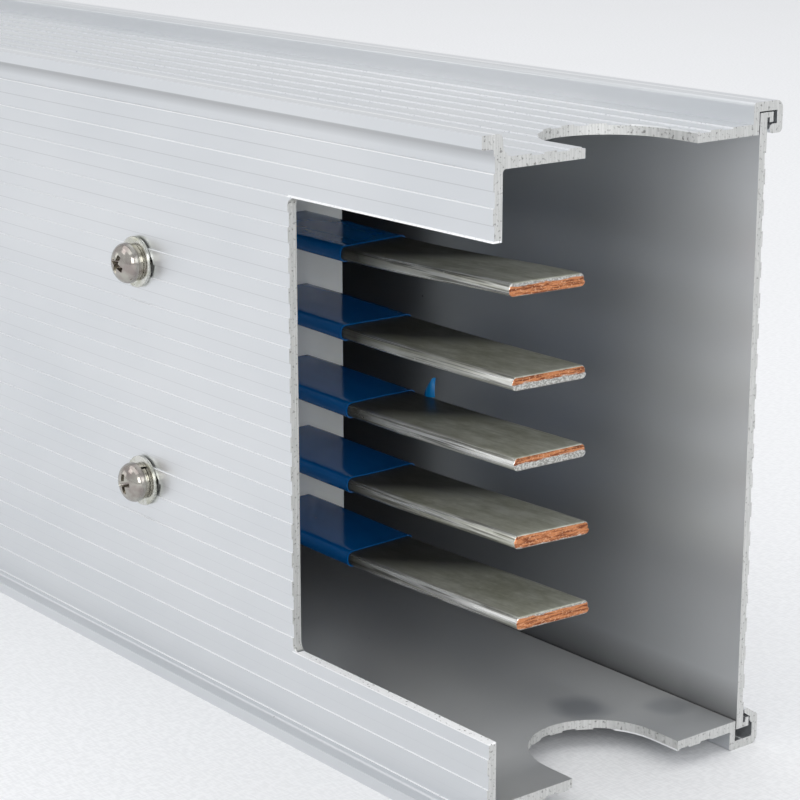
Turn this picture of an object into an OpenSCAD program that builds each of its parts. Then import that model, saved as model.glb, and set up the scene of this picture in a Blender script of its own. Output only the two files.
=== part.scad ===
// Busway section: an extruded housing channel closed by a clip-in back cover, with flat
// busbars held in moulded comb supports and open for a joint at both ends.
// The section runs along X. The front wall faces -Y, and the rims stand on Z = 0.

/* [Housing] */
// Length of the section
length = 1000; // [700:10:3000]
// Clear height between the top and bottom plates
inner_h = 130; // [115:1:200]
// Clear depth between the front wall and the back cover
inner_d = 70.5; // [60:0.5:120]
// Thickness of the front wall
wall_t = 2.3; // [1.6:0.1:3]
// Thickness of the top and bottom plates
plate_t = 2.3; // [1.6:0.1:3]
// How far the front lips and rear hooks stand past the plates' inner faces
rim_rise = 6.8; // [6.6:0.1:10]
// How far a front lip stands out from the front wall
lip_out = 3; // [2:0.1:6]
// Height of a front lip
lip_h = 2.8; // [1.5:0.1:3.5]
// Radius on the back of a front lip
lip_r = 1.2; // [0.4:0.1:1.5]
// Radius outside, between the front wall and the plates
root_r = 2.5; // [0.5:0.1:3]

/* [Rear hooks] */
// Thickness of a hook's two legs
hook_t = 1.7; // [1.2:0.1:2]
// Thickness of the wall between the legs
hook_end_t = 2; // [1.2:0.1:2]
// Radius outside, between the end wall and the outer leg
hook_r = 1.8; // [1:0.1:2]
// Radius outside, between the leg at the plate and the end wall
leg_r = 0.8; // [0.3:0.1:1.2]
// Radius of the barb that keeps the cover in the upper hook
barb_r = 1; // [0.6:0.1:1.1]
// Gap between the barb and the cover's outer face
barb_gap = 0.7; // [0.5:0.1:1.5]
// Width of the nib that keeps the cover in the lower hook
nib_w = 2.5; // [2.3:0.1:4]
// Height of the nib
nib_h = 2.3; // [1.8:0.1:2.3]
// How far the nib reaches above the bottom plate's upper face
nib_rise = 0.6; // [0.4:0.1:1]
// Thickness of the arm from the nib to the cover
arm_t = 1.3; // [1:0.1:1.5]
// Height of the arm's end above the bottom plate's upper face
arm_rise = 1.6; // [1.6:0.1:2.5]

/* [Ribbing] */
// Distance between the ribs of the front wall and the back cover
wall_rib_pitch = 6.6; // [5:0.1:9]
// Distance between the ribs of the top and bottom plates
plate_rib_pitch = 6.5; // [5:0.1:9]
// Distance from the front wall's inner face to the first rib of a plate
plate_rib_start = 10.5; // [8:0.5:20]
// Depth of the grooves between the ribs
groove_depth = 0.35; // [0.2:0.05:0.6]

/* [Back cover] */
// Thickness of the back cover
cover_t = 2.1; // [1.6:0.1:2.5]
// Thickness of the feet along the cover's edges and of their return lips
foot_t = 1.1; // [0.8:0.1:1.2]
// How far a foot stands out from the cover's outer face
foot_out = 1.8; // [1.6:0.1:3]
// Height of a foot with its return lip
foot_h = 2.1; // [1.8:0.1:2.2]
// Gap between the cover and the hooks
clip_gap = 0.3; // [0.2:0.05:0.4]

/* [End openings] */
// Length of the notch in the front wall, from the end
notch_l = 66; // [40:1:90]
// Height of the notch
notch_h = 102; // [80:1:110]
// Radius of the notch's inner corners
notch_r = 2; // [1:0.5:8]
// Width of the round-ended cut-outs in the plates
cutout_w = 31; // [20:1:44]
// Length of the cut-outs, from the end
cutout_l = 23.5; // [17:0.5:50]
// Distance of the cut-outs' centre line behind the front wall's outer face
cutout_y = 39; // [30:0.5:60]

/* [Busbars] */
// Number of busbars
bar_count = 5; // [1:1:6]
// Width of a busbar
bar_w = 20; // [12:1:40]
// Thickness of a busbar
bar_t = 3; // [2:0.5:5]
// Radius of a busbar's long edges
bar_edge_r = 1.2; // [0.5:0.1:1.4]
// Distance from one busbar to the next
bar_pitch = 18; // [14:0.5:22]
// How far the middle of the stack sits below the housing's mid-height
stack_drop = 3; // [0:0.5:6]
// How far the busbars stop short of the housing's ends
bar_recess = 23.5; // [5:0.5:40]
// Bare length of a busbar at each end
bare_l = 59; // [30:1:80]
// Wall thickness of the insulating sleeves
sleeve_t = 0.3; // [0.2:0.05:0.8]

/* [Supports] */
// Number of supports along the section
support_count = 3; // [2:1:7]
// Distance from an end to the screws of the first support
support_inset = 125.5; // [120:0.5:200]
// Distance from the screws to the near face of a support's comb
comb_offset = 16; // [12:0.5:24]
// Thickness of the comb
comb_t = 6; // [4:0.5:10]
// Gap between a comb and the plates
comb_gap = 8; // [3:0.5:12]
// Clearance round a sleeved busbar in its window
window_gap = 0.2; // [0.1:0.05:0.5]
// Thickness of the base that lies along the front wall
base_t = 3.5; // [2.5:0.5:5]
// Distance from the screws to the base's free edge
base_margin = 8; // [7:0.5:12]
// Diameter of the screw bosses on the base
boss_d = 11; // [9:0.5:14]
// Height of the bosses above the front wall
boss_h = 6.5; // [6:0.5:10]
// Thickness of the gussets between the base and the comb
gusset_t = 3; // [2:0.5:5]
// Length of a gusset along the base
gusset_l = 10; // [5:0.5:12]
// Depth of a gusset along the comb
gusset_d = 14; // [8:0.5:16]

/* [Screws] */
// Nominal size of the screws
screw_d = 5; // [4:1:6]
// Length of a screw under its head
screw_l = 10; // [8:0.5:12]
// Distance between the two screws of a support
screw_spacing = 53; // [40:1:70]
// How far the middle of a screw pair sits above the housing's mid-height
screw_rise = 1.2; // [0:0.1:4]
// Diameter of a screw head
head_d = 9.5; // [8:0.1:12]
// Height of a screw head
head_h = 3.7; // [2.5:0.1:4.5]
// Diameter of the flat washers
washer_d = 12; // [10:0.5:15]
// Thickness of the flat washers
washer_t = 1; // [0.6:0.1:1.6]
// Diameter of the spring washers
spring_d = 8.8; // [7:0.1:11]
// Thickness of the spring washers
spring_t = 1.3; // [0.8:0.1:1.6]
// Play of a screw across its slotted hole in the front wall
screw_play = 0.5; // [0.2:0.1:1]
// Travel of a screw along its slotted hole
screw_travel = 7.9; // [3:0.1:9]
// Gap between a screw's shank and its washers
shank_gap = 0.15; // [0.1:0.05:0.3]

/* [Hidden] */
$fn = 48;
eps = 0.01;

// Heights, from the floor that the rims stand on
floor_z = rim_rise;
mid_z = rim_rise + inner_h / 2;
total_h = inner_h + 2 * rim_rise;
stack_z = mid_z - stack_drop;
screw_z = mid_z + screw_rise;

// Depths behind the front wall's outer face: the cover, and the hooks that hold its feet
cover_y = wall_t + inner_d;
cover_back = cover_y + cover_t;
hook_y = cover_y - clip_gap - hook_t;
nib_y = cover_back + foot_out + clip_gap;
shell_d = nib_y + nib_w;

// The screw heads and the hooks lie equally far from the middle
screw_out = washer_t + spring_t + head_h;
front_out = max(lip_out, screw_out);
front_y = (front_out - shell_d) / 2;
bar_y = front_y + wall_t + inner_d / 2;

// How far the cover reaches past the inner faces of the top and bottom plates
upper_reach = rim_rise - hook_end_t - clip_gap;
lower_reach = foot_h;

// Lengths along X
half_l = length / 2;
bar_l = length - 2 * bar_recess;
sleeve_l = bar_l - 2 * bare_l;
sleeve_w = bar_w + 2 * sleeve_t;
sleeve_h = bar_t + 2 * sleeve_t;

// Supports: the screws' places, and the side of the screws on which each comb stands
support_step = (length - 2 * support_inset) / (support_count - 1);
function support_x(n) = half_l - support_inset - (n - 1) * support_step;
function comb_side(n) = n < support_count ? -1 : 1;

// Grooves: an odd number on the front wall, and as many on each plate as fit before its hook
wall_grooves = 2 * floor((inner_h / wall_rib_pitch + 0.5) / 2) + 1;
plate_grooves = floor((hook_y - wall_t - plate_rib_start) / plate_rib_pitch) + 1;

SIDES = [1, -1];
BARS = [for (i = [1 : bar_count]) i];
SUPPORTS = [for (n = [1 : support_count]) n];
LEVELS = ["upper", "lower"];

// Puts a YZ section in place and runs it along X
module along_x(run) {
    translate([-run / 2, 0, 0])
        rotate([90, 0, 90])
            linear_extrude(height = run)
                children();
}

// Rectangle with rounded corners, centred
module rounded_rect(w, h, r) {
    square([w - 2 * r, h], center = true);
    square([w, h - 2 * r], center = true);
    for (sy = SIDES)
        for (sz = SIDES)
            translate([sy * (w / 2 - r), sz * (h / 2 - r)])
                circle(r);
}

// Fills the inner corner at the origin with a concave radius, towards +Y and +Z
module corner_fill(r) {
    difference() {
        translate([-eps, -eps])
            square(r + eps);
        translate([r, r])
            circle(r);
    }
}

// Straight strip with round ends, from one point to another
module strip(from, to, t) {
    run = to - from;
    translate(from)
        rotate(atan2(run[1], run[0])) {
            translate([0, -t / 2])
                square([norm(run), t]);
            circle(t / 2);
            translate([norm(run), 0])
                circle(t / 2);
        }
}

// Grooves to be cut from a face, in a row that starts at the origin
module groove_row(grooves, pitch) {
    for (k = [0 : grooves - 1])
        translate([k * pitch, -groove_depth])
            square([pitch / 2, groove_depth + 1]);
}

// The same row centred on the origin
module centred_groove_row(grooves, pitch) {
    translate([-(grooves - 0.5) * pitch / 2, 0])
        groove_row(grooves, pitch);
}

// Front wall, lip and plate above the mid-height, from the wall's outer face
module wall_and_plate() {
    h = inner_h / 2;
    top = h + rim_rise;
    square([wall_t, top - lip_r]);
    // Lip, rounded at the back
    translate([-lip_out, top - lip_h])
        square([lip_out + wall_t - lip_r, lip_h]);
    translate([wall_t - lip_r, top - lip_r])
        circle(lip_r);
    translate([0, top - lip_h])
        mirror([1, 1])
            corner_fill(0.5);
    // Plate
    translate([0, h])
        square([hook_y + hook_t, plate_t]);
    translate([wall_t, h + plate_t])
        corner_fill(root_r);
    translate([wall_t, h])
        mirror([0, 1])
            corner_fill(0.8);
}

// Rear hook without its end: the leg at the plate, the end wall and the outer leg
module hook_shell() {
    h = inner_h / 2;
    top = h + rim_rise;
    difference() {
        union() {
            translate([hook_y, h])
                square([shell_d - hook_r - hook_y, rim_rise - leg_r]);
            translate([hook_y + leg_r, h])
                square([shell_d - hook_r - hook_y - leg_r, rim_rise]);
            translate([shell_d - hook_r, h + barb_r])
                square([hook_r, rim_rise - hook_r - barb_r]);
            translate([hook_y + leg_r, top - leg_r])
                circle(leg_r);
            translate([shell_d - hook_r, top - hook_r])
                circle(hook_r);
        }
        translate([hook_y + hook_t, h - 1])
            square([shell_d - hook_y - 2 * hook_t, rim_rise - hook_end_t + 1]);
    }
}

// End of the upper hook: a barb under the return lip of the cover's foot
module barb() {
    level = inner_h / 2 + barb_r;
    strip([cover_back + barb_gap + barb_r, level], [shell_d - barb_r, level], 2 * barb_r);
}

// End of the lower hook: a nib behind the return lip, and an arm to the cover's outer face
module nib_and_arm() {
    h = inner_h / 2;
    nib_level = h + nib_h / 2 - nib_rise;
    strip([nib_y + nib_h / 2, nib_level], [shell_d - nib_h / 2, nib_level], nib_h);
    strip([shell_d - arm_t, h], [cover_back + clip_gap + arm_t / 2, h - arm_rise], arm_t);
}

module channel_section() {
    difference() {
        union() {
            for (side = SIDES)
                scale([1, side]) {
                    wall_and_plate();
                    hook_shell();
                }
            barb();
            scale([1, -1])
                nib_and_arm();
        }
        // Grooves of the front wall
        rotate(90)
            centred_groove_row(wall_grooves, wall_rib_pitch);
        // Grooves of both plates, each ending at a rib
        for (side = SIDES)
            translate([wall_t + plate_rib_start - plate_rib_pitch / 2, side * (inner_h / 2 + plate_t)])
                scale([1, side])
                    groove_row(plate_grooves, plate_rib_pitch);
    }
}

// Notch through the front wall at one end
module end_notch() {
    translate([half_l - notch_l, front_y, mid_z])
        rotate([90, 0, 0])
            translate([notch_l, 0, 0])
                linear_extrude(height = 4 * wall_t, center = true)
                    rounded_rect(2 * notch_l, notch_h, notch_r);
}

// Round-ended cut-out through both plates at one end
module end_cutouts() {
    radius = cutout_w / 2;
    translate([half_l - cutout_l + radius, front_y + cutout_y, -eps]) {
        cylinder(h = total_h + 2 * eps, r = radius);
        translate([0, -radius, 0])
            cube([cutout_l, cutout_w, total_h + 2 * eps]);
    }
}

// Slotted hole through the front wall for one screw
module screw_slot(x, z) {
    slot_w = screw_d + screw_play;
    translate([x, front_y + 2 * wall_t, z])
        rotate([90, 0, 0]) {
            for (side = SIDES)
                translate([side * screw_travel / 2, 0, 0])
                    cylinder(h = 4 * wall_t, d = slot_w);
            translate([-screw_travel / 2, -slot_w / 2, 0])
                cube([screw_travel, slot_w, 4 * wall_t]);
        }
}

module housing_channel() {
    color("gainsboro")
        difference() {
            along_x(length)
                translate([front_y, mid_z])
                    channel_section();
            for (end = SIDES)
                scale([end, 1, 1]) {
                    end_notch();
                    end_cutouts();
                }
            for (n = SUPPORTS)
                for (side = SIDES)
                    screw_slot(support_x(n), screw_z + side * screw_spacing / 2);
        }
}

// Half of the cover's section, from its inner face up to a foot with its return lip
module half_cover(reach) {
    edge = inner_h / 2 + reach;
    square([cover_t, edge]);
    translate([0, edge - foot_t])
        square([cover_t + foot_out, foot_t]);
    translate([cover_t + foot_out - foot_t, edge - foot_h])
        square([foot_t, foot_h]);
}

module back_cover() {
    color("silver")
        along_x(length)
            translate([front_y + cover_y, mid_z])
                difference() {
                    union() {
                        half_cover(upper_reach);
                        scale([1, -1])
                            half_cover(lower_reach);
                    }
                    translate([cover_t, 0])
                        rotate(-90)
                            centred_groove_row(wall_grooves - 2, wall_rib_pitch);
                }
}

function bar_z(i) = stack_z + ((bar_count + 1) / 2 - i) * bar_pitch;

module busbar(i) {
    color("peru")
        along_x(bar_l)
            translate([bar_y, bar_z(i)])
                rounded_rect(bar_w, bar_t, bar_edge_r);
}

module sleeve(i) {
    color("mediumblue")
        along_x(sleeve_l)
            translate([bar_y, bar_z(i)])
                difference() {
                    rounded_rect(sleeve_w, sleeve_h, bar_edge_r + sleeve_t);
                    rounded_rect(bar_w, bar_t, bar_edge_r);
                }
}

// Comb plate of a support, with a window for each sleeved busbar
module comb_section() {
    difference() {
        translate([inner_d / 2, mid_z])
            rounded_rect(inner_d, inner_h - 2 * comb_gap, 2);
        for (i = BARS)
            translate([inner_d / 2, bar_z(i)])
                rounded_rect(sleeve_w + 2 * window_gap, sleeve_h + 2 * window_gap,
                        bar_edge_r + sleeve_t + window_gap);
    }
}

// Gusset between the base and the comb, drawn round its own middle plane
module gusset() {
    translate([comb_offset, base_t, -gusset_t / 2])
        linear_extrude(height = gusset_t)
            polygon([[-gusset_l, -eps], [eps, -eps], [eps, gusset_d]]);
}

// Moulded support: a comb on a base along the front wall, drawn with its screws on X = 0
module comb_support(n) {
    base_h = inner_h - 2 * comb_gap;
    color("whitesmoke")
        translate([support_x(n), front_y + wall_t, 0])
            scale([comb_side(n), 1, 1])
                difference() {
                    union() {
                        translate([comb_offset + comb_t / 2, 0, 0])
                            along_x(comb_t)
                                comb_section();
                        translate([-base_margin, 0, floor_z + comb_gap])
                            cube([base_margin + comb_offset + comb_t, base_t, base_h]);
                        for (level = [-1 : 1])
                            translate([0, 0, mid_z + level * (base_h - gusset_t) / 2])
                                gusset();
                        for (side = SIDES)
                            translate([0, 0, screw_z + side * screw_spacing / 2])
                                rotate([-90, 0, 0])
                                    cylinder(h = boss_h, d = boss_d);
                    }
                    for (side = SIDES)
                        translate([0, -eps, screw_z + side * screw_spacing / 2])
                            rotate([-90, 0, 0])
                                cylinder(h = boss_h + 2 * eps, d = screw_d);
                }
}

// Puts a piece that points along +Z on a screw's axis, pointing out of the front wall
module on_screw(n, level) {
    side = level == "upper" ? 1 : -1;
    translate([support_x(n), front_y, screw_z + side * screw_spacing / 2])
        rotate([90, 0, 0])
            children();
}

module screw(n, level) {
    color("lightgray")
        on_screw(n, level)
            translate([0, 0, washer_t + spring_t]) {
                rotate_extrude()
                    intersection() {
                        square([head_d / 2, head_h]);
                        translate([0, head_h - head_d])
                            circle(head_d);
                    }
                translate([0, 0, -screw_l])
                    cylinder(h = screw_l + eps, d = screw_d);
            }
}

module spring_washer(n, level) {
    color("gray")
        on_screw(n, level)
            translate([0, 0, washer_t])
                difference() {
                    cylinder(h = spring_t, d = spring_d);
                    translate([0, 0, -1])
                        cylinder(h = spring_t + 2, d = screw_d + 2 * shank_gap);
                    translate([0, -0.3, -1])
                        cube([spring_d, 0.6, spring_t + 2]);
                }
}

module flat_washer(n, level) {
    color("silver")
        on_screw(n, level)
            difference() {
                cylinder(h = washer_t, d = washer_d);
                translate([0, 0, -1])
                    cylinder(h = washer_t + 2, d = screw_d + 2 * shank_gap);
            }
}

housing_channel();
back_cover();
for (i = BARS) {
    busbar(i);
    sleeve(i);
}
for (n = SUPPORTS) {
    comb_support(n);
    for (level = LEVELS) {
        screw(n, level);
        spring_washer(n, level);
        flat_washer(n, level);
    }
}
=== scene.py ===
import math

import bmesh
import bpy
from mathutils import Matrix, Vector, noise


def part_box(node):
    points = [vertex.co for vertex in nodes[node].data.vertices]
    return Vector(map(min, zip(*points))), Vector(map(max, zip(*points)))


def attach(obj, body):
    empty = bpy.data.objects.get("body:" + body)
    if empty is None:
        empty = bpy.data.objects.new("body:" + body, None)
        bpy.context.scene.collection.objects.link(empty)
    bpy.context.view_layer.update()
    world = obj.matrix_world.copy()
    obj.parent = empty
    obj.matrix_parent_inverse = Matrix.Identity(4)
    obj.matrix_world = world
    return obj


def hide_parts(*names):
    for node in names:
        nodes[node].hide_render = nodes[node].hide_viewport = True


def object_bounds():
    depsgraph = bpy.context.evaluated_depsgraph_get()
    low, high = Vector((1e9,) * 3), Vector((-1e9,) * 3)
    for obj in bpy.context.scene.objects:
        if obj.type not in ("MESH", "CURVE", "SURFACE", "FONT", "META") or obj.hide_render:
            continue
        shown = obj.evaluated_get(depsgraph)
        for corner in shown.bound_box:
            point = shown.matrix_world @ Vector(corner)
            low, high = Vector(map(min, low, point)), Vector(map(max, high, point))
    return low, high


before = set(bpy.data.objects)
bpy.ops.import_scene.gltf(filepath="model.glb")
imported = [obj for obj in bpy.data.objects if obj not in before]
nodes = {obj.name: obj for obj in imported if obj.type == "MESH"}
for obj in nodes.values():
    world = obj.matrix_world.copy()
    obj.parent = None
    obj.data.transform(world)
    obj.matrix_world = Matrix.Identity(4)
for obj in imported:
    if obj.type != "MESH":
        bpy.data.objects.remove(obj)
cadLow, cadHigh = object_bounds()
scene = bpy.context.scene

mm = 0.001
sectionEnd = cadHigh.x
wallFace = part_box("flat_washer_1_upper")[1].y      # outer face of the front wall
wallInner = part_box("comb_support_1")[0].y          # inner face of the front wall
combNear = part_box("flat_washer_1_upper")[0].x + 3 * mm    # side of the end comb nearest the middle
barCount = 5
combCount = 3


# Node helpers

def newMaterial(name):
    material = bpy.data.materials.new(name)
    material.use_nodes = True
    tree = material.node_tree
    shader = tree.nodes["Principled BSDF"]
    return material, tree, shader


def plug(tree, socket, value):
    if isinstance(value, bpy.types.NodeSocket):
        tree.links.new(value, socket)
    elif isinstance(value, tuple) and len(value) == 3 and socket.type == "RGBA":
        socket.default_value = (*value, 1)
    else:
        socket.default_value = value


def addNode(tree, kind, inputs=None, **settings):
    node = tree.nodes.new(kind)
    for key, value in settings.items():
        setattr(node, key, value)
    for key, value in (inputs or {}).items():
        plug(tree, node.inputs[key], value)
    return node


def objectPoint(tree, scale=(1, 1, 1), turn=(0, 0, 0), location=(0, 0, 0)):
    coords = addNode(tree, "ShaderNodeTexCoord")
    mapping = addNode(tree, "ShaderNodeMapping", {"Vector": coords.outputs["Object"], "Scale": scale,
                                                  "Location": location, "Rotation": turn})
    return mapping.outputs["Vector"]


def parts(tree, vector):
    return addNode(tree, "ShaderNodeSeparateXYZ", {"Vector": vector}).outputs


def faceNormal(tree):
    return parts(tree, addNode(tree, "ShaderNodeTexCoord").outputs["Normal"])


# Noise with repeats per metre along each axis
def pattern(tree, scale, detail, roughness=0.5, turn=(0, 0, 0)):
    point = objectPoint(tree, scale, turn)
    return addNode(tree, "ShaderNodeTexNoise", {"Vector": point, "Scale": 1.0, "Detail": detail,
                                                "Roughness": roughness}).outputs["Fac"]


def remap(tree, value, fromLow, fromHigh, toLow=0.0, toHigh=1.0):
    limits = {"From Min": fromLow, "From Max": fromHigh, "To Min": toLow, "To Max": toHigh}
    return addNode(tree, "ShaderNodeMapRange", {"Value": value, **limits}).outputs["Result"]


def maths(tree, operation, first, second=0.0):
    node = addNode(tree, "ShaderNodeMath", operation=operation)
    plug(tree, node.inputs[0], first)
    plug(tree, node.inputs[1], second)
    return node.outputs[0]


def mixColour(tree, factor, first, second, blend="MIX"):
    node = addNode(tree, "ShaderNodeMix", data_type="RGBA", blend_type=blend)
    for index, value in ((0, factor), (6, first), (7, second)):
        plug(tree, node.inputs[index], value)
    return node.outputs[2]


def mixValue(tree, factor, first, second):
    node = addNode(tree, "ShaderNodeMix", data_type="FLOAT")
    for index, value in ((0, factor), (2, first), (3, second)):
        plug(tree, node.inputs[index], value)
    return node.outputs[0]


def band(tree, value, middle, half, blur):
    away = maths(tree, "ABSOLUTE", maths(tree, "SUBTRACT", value, middle))
    return remap(tree, away, half, half + blur, 1.0, 0.0)


def dots(tree, vector, scale, share, radius):
    cells = addNode(tree, "ShaderNodeTexVoronoi", {"Vector": vector, "Scale": scale})
    chance = addNode(tree, "ShaderNodeSeparateColor", {"Color": cells.outputs["Color"]}).outputs["Red"]
    picked = maths(tree, "GREATER_THAN", chance, 1 - share)
    return maths(tree, "MULTIPLY", picked, remap(tree, cells.outputs["Distance"], radius, radius * 0.5))


def addBump(tree, shader, layers):
    total = None
    for height, depth in layers:
        scaled = maths(tree, "MULTIPLY", height, depth / mm)
        total = maths(tree, "ADD", total, scaled) if total else scaled
    bump = addNode(tree, "ShaderNodeBump", {"Height": total, "Strength": 1.0, "Distance": mm})
    tree.links.new(bump.outputs["Normal"], shader.inputs["Normal"])


# Mesh helpers

def smoothStep(value):
    value = min(max(value, 0), 1)
    return value * value * (3 - 2 * value)


def finishPiece(name, shape, materials, replaced=(), crease=35):
    mesh = bpy.data.meshes.new(name)
    for face in shape.faces:
        face.smooth = True
    shape.to_mesh(mesh)
    shape.free()
    mesh.set_sharp_from_angle(angle=math.radians(crease))
    for material in materials:
        mesh.materials.append(material)
    piece = bpy.data.objects.new(name, mesh)
    scene.collection.objects.link(piece)
    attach(piece, "root")
    if replaced:
        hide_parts(*replaced)
    return piece


def block(low, high):
    shape = bmesh.new()
    bmesh.ops.create_cube(shape, size=1)
    bmesh.ops.scale(shape, vec=high - low, verts=shape.verts)
    bmesh.ops.translate(shape, vec=(low + high) / 2, verts=shape.verts)
    return shape


def roundEdges(shape, edges, radius, steps):
    bmesh.ops.bevel(shape, geom=edges, offset=radius, affect="EDGES", segments=steps, profile=0.5,
                    material=-1)


def roundedStrip(low, high, edgeRadius, edgeSteps):
    shape = block(low, high)
    longEdges = [edge for edge in shape.edges
                 if abs(edge.verts[0].co.x - edge.verts[1].co.x) > (high - low).x / 2]
    roundEdges(shape, longEdges, edgeRadius, edgeSteps)
    return shape


def turnAbout(shape, axis, degrees):
    bmesh.ops.rotate(shape, cent=(0, 0, 0), matrix=Matrix.Rotation(math.radians(degrees), 3, axis),
                     verts=shape.verts)


def cutAcross(shape, places, axis):
    direction = Vector([1.0 if index == axis else 0.0 for index in range(3)])
    for place in places:
        geometry = shape.verts[:] + shape.edges[:] + shape.faces[:]
        bmesh.ops.bisect_plane(shape, geom=geometry, dist=1e-6, plane_co=direction * place,
                               plane_no=direction)


def lengthStations(barEnd, fine):
    stations, place = [], barEnd - fine
    while place > combNear - 40 * mm:
        stations.append(place)
        place -= fine
    stations += [combNear - 60 * mm, 0.2, 0.1]
    return [side * station for station in stations for side in (1, -1)] + [0.0]


# Aluminium of the two extrusions

aluminium = {
    "colour": (0.735, 0.75, 0.765),
    "greyer": (0.69, 0.71, 0.73),
    "sawn": (0.64, 0.645, 0.63),
    "torn": (0.30, 0.30, 0.29),
    # near-white colour of the painted highlight on rib flanks, lip edges and the notch rim
    "paintedHighlight": (0.97, 0.975, 0.98),
    "pit": (0.16, 0.16, 0.17),
    "smudge": (0.44, 0.46, 0.49),
    "dust": (0.60, 0.60, 0.59),
    # repeats per metre along X, Y and Z, detail and roughness of each noise
    "dieLines": ((0.8, 2400, 2400), 0),
    "wideLines": ((0.5, 210, 210), 1),
    "blotches": ((14, 26, 26), 2, 0.6),
    "sawLines": ((1400, 2600, 160), 0, 0.5, (0.18, 0.0, 0.0)),
    "chips": ((1500, 1500, 1500), 1),
    "wander": ((90, 90, 90), 1),
    "pits": (110, 0.10, 0.045),          # per metre, share of the cells and radius
    "metal": 0.90,
    "paintedHighlightMetal": 0.15,
    # dark colour of the painted shade under the lip, in the grooves and at the cover's foot
    "paintedShadeColour": (0.20, 0.20, 0.20),
    "sawStreak": (0.80, 0.80, 0.79),
    "roughness": (0.325, 0.345),
    "sawnRoughness": 0.60,
    "dieLineDepth": 0.0006 * mm,
    "sawMarkDepth": 0.06 * mm,
    "grooveDepth": 0.35 * mm,
    "plateThick": 2.3 * mm,
    "coverThick": 2.1 * mm,
    "notchLength": 66 * mm,
    "notchLow": 20.8 * mm,
    "notchHigh": 122.8 * mm,
    # height of the painted highlight along the notch's burred rim
    "burr": 0.4 * mm,
    "lipFoot": 140.8 * mm,
    "lipShade": (3.2 * mm, 1.1 * mm),    # below the lip's foot, where the shade starts and is full
    # height of the painted shade on the cover above the bottom plate
    "footShadeHeight": 9 * mm,
    # painted shade: the cover's inner face darkens deeper inside the section
    "innerShadeColour": (0.28, 0.29, 0.30),
    "innerShadeShare": 0.66,
    "innerShadeRange": (28 * mm, 78 * mm),     # from the end, where the painted shade inside the cover starts and is full
    "haze": 0.26,
    "hazeRange": (48 * mm, 12 * mm),
    "dustShare": (0.40, 0.62),
    "cleanRim": (18 * mm, 8 * mm),
    # painted rib highlights at this share far from the ends, full near the ends
    "highlightFadeShare": 0.3,
    "highlightFadeRange": (330 * mm, 110 * mm),
    # each smudge on the bottom plate: place along and across, half length and half width in mm, strength
    "smudges": ((0.4728, 0.0145, 6.5, 5.5, 0.60), (0.4846, 0.0303, 4.6, 4.6, 0.45)),
    "ribPitch": 6.6 * mm,
    "topRib": 136.15 * mm,
    # painted highlight strip along the rib crests, and how far below the lip it reaches
    "highlightEdge": 0.22 * mm,
    "highlightBelowLip": 22 * mm,
    # height of the painted shadow strip in the groove below each rib
    "grooveShadowEdge": 0.30 * mm,
    # strengths of the painted highlights on the rib edges and plate ribs, the painted shade under the
    # lip and at the cover's foot, the painted shadow in the grooves, and the pits
    "highlightShare": 0.85,
    "plateRibHighlightShare": 0.7,
    "lipShadeShare": 0.42,
    "footShadeShare": 0.9,
    "grooveShadowShare": 0.22,
    "pitShare": 0.75,
    "smudgeHeight": 60,
    "smudgeWander": 0.9,
    "smudgeFade": (1.05, 1.75),          # where a smudge starts to fade and is gone, in half sizes
    "smudgeWipe": 0.7,                   # share of the dust that a smudge takes off
    "dustMatt": 0.8,
}
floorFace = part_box("comb_support_1")[0].z - 8 * mm
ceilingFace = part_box("comb_support_1")[1].z + 8 * mm
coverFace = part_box("back_cover")[0].y


def between(tree, value, low, high, blur=0.02 * mm):
    return band(tree, value, (low + high) / 2, (high - low) / 2, blur)


def allOf(tree, *masks):
    total = masks[0]
    for mask in masks[1:]:
        total = maths(tree, "MULTIPLY", total, mask)
    return total


def anyOf(tree, *masks):
    total = masks[0]
    for mask in masks[1:]:
        total = maths(tree, "MAXIMUM", total, mask)
    return total


def sizeOf(tree, value):
    return maths(tree, "ABSOLUTE", value)


# Share that runs from low to high between two distances from either end of the section
def fromEnd(tree, where, distances, low=0.0, high=1.0):
    start, full = distances
    return remap(tree, sizeOf(tree, where[0]), sectionEnd - start, sectionEnd - full, low, high)


# True over the length of the notches
def alongNotch(tree, where, margin):
    length = aluminium["notchLength"]
    return fromEnd(tree, where, (length + margin, length))


def sawnMask(tree, where, normal):
    across = remap(tree, sizeOf(tree, normal[0]), 0.4, 0.6)
    nearEnd = alongNotch(tree, where, 0.1 * mm)
    inWall = between(tree, where[1], wallFace + 0.05 * mm, wallInner - 0.05 * mm)
    notch = anyOf(tree, band(tree, where[2], aluminium["notchLow"], 0.1 * mm, 0.02 * mm),
                  band(tree, where[2], aluminium["notchHigh"], 0.1 * mm, 0.02 * mm))
    upright = remap(tree, sizeOf(tree, normal[2]), 0.5, 0.3)
    deep = aluminium["plateThick"] - aluminium["grooveDepth"]
    inPlate = anyOf(tree, between(tree, where[2], ceilingFace, ceilingFace + deep),
                    between(tree, where[2], floorFace - deep, floorFace))
    midPlate = between(tree, where[1], wallInner + 6 * mm, coverFace - 6 * mm)
    cutOut = allOf(tree, upright, inPlate, midPlate)
    return anyOf(tree, across, allOf(tree, notch, inWall, nearEnd), allOf(tree, cutOut, nearEnd))
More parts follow.
